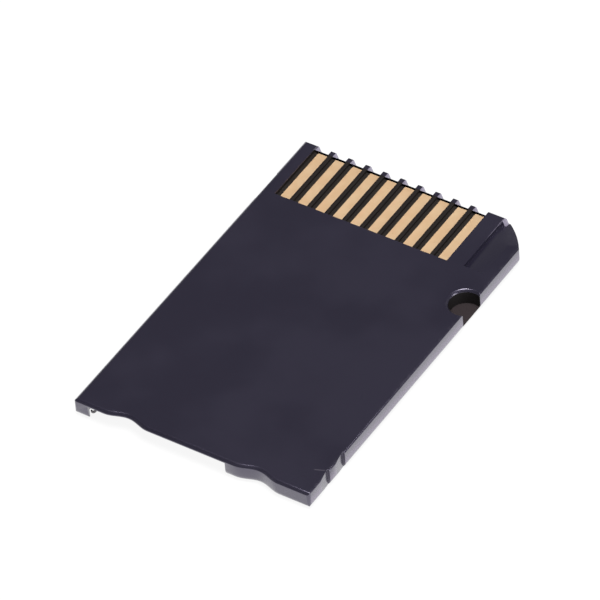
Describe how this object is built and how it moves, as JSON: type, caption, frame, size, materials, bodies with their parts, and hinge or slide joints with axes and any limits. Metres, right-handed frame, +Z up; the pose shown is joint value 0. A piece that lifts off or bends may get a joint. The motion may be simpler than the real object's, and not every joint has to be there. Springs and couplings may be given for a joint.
{
  "type": "memory card adapter",
  "caption": "Thin black host-slot adapter card: gold end contacts behind ribs and teeth, cut corner, half-round side notch, and a slot for a micro card in its scalloped end.",
  "frame": {"origin": "middle of the footprint, on the label side that the adapter lies on", "axes": "+X across the adapter towards the cut corner, +Y towards the host contact end, +Z up through the thickness to the contact side"},
  "size_m": [0.02, 0.031, 0.0016],
  "materials": {
    "housing": "black moulded plastic, satin",
    "cover": "black moulded plastic, satin",
    "pad_gold": "gold plated, satin",
    "board": "dark solder mask on laminate",
    "carrier": "black moulded insulator",
    "contact_spring": "gold flashed spring strip",
    "side_spring": "stainless spring strip",
    "chip": "moulded package",
    "capacitor": "ceramic body, tinned ends",
    "resistor": "film body, tinned ends"
  },
  "bodies": {
    "root": {"contact_shell": "housing", "label_cover": "cover", "circuit_board": "board", "contact_carrier": "carrier", "card_spring": "side_spring", "controller_chip": "chip", "contact_pad_1": "pad_gold", "contact_pad_2": "pad_gold", "contact_pad_3": "pad_gold", "contact_pad_4": "pad_gold", "contact_pad_5": "pad_gold", "contact_pad_6": "pad_gold", "contact_pad_7": "pad_gold", "contact_pad_8": "pad_gold", "contact_pad_9": "pad_gold", "contact_pad_10": "pad_gold", "card_contact_1": "contact_spring", "card_contact_2": "contact_spring", "card_contact_3": "contact_spring", "card_contact_4": "contact_spring", "card_contact_5": "contact_spring", "card_contact_6": "contact_spring", "card_contact_7": "contact_spring", "card_contact_8": "contact_spring", "capacitor_1": "capacitor", "capacitor_2": "capacitor", "resistor_1": "resistor", "resistor_2": "resistor", "resistor_3": "resistor", "resistor_4": "resistor"}
  },
  "joints": []
}
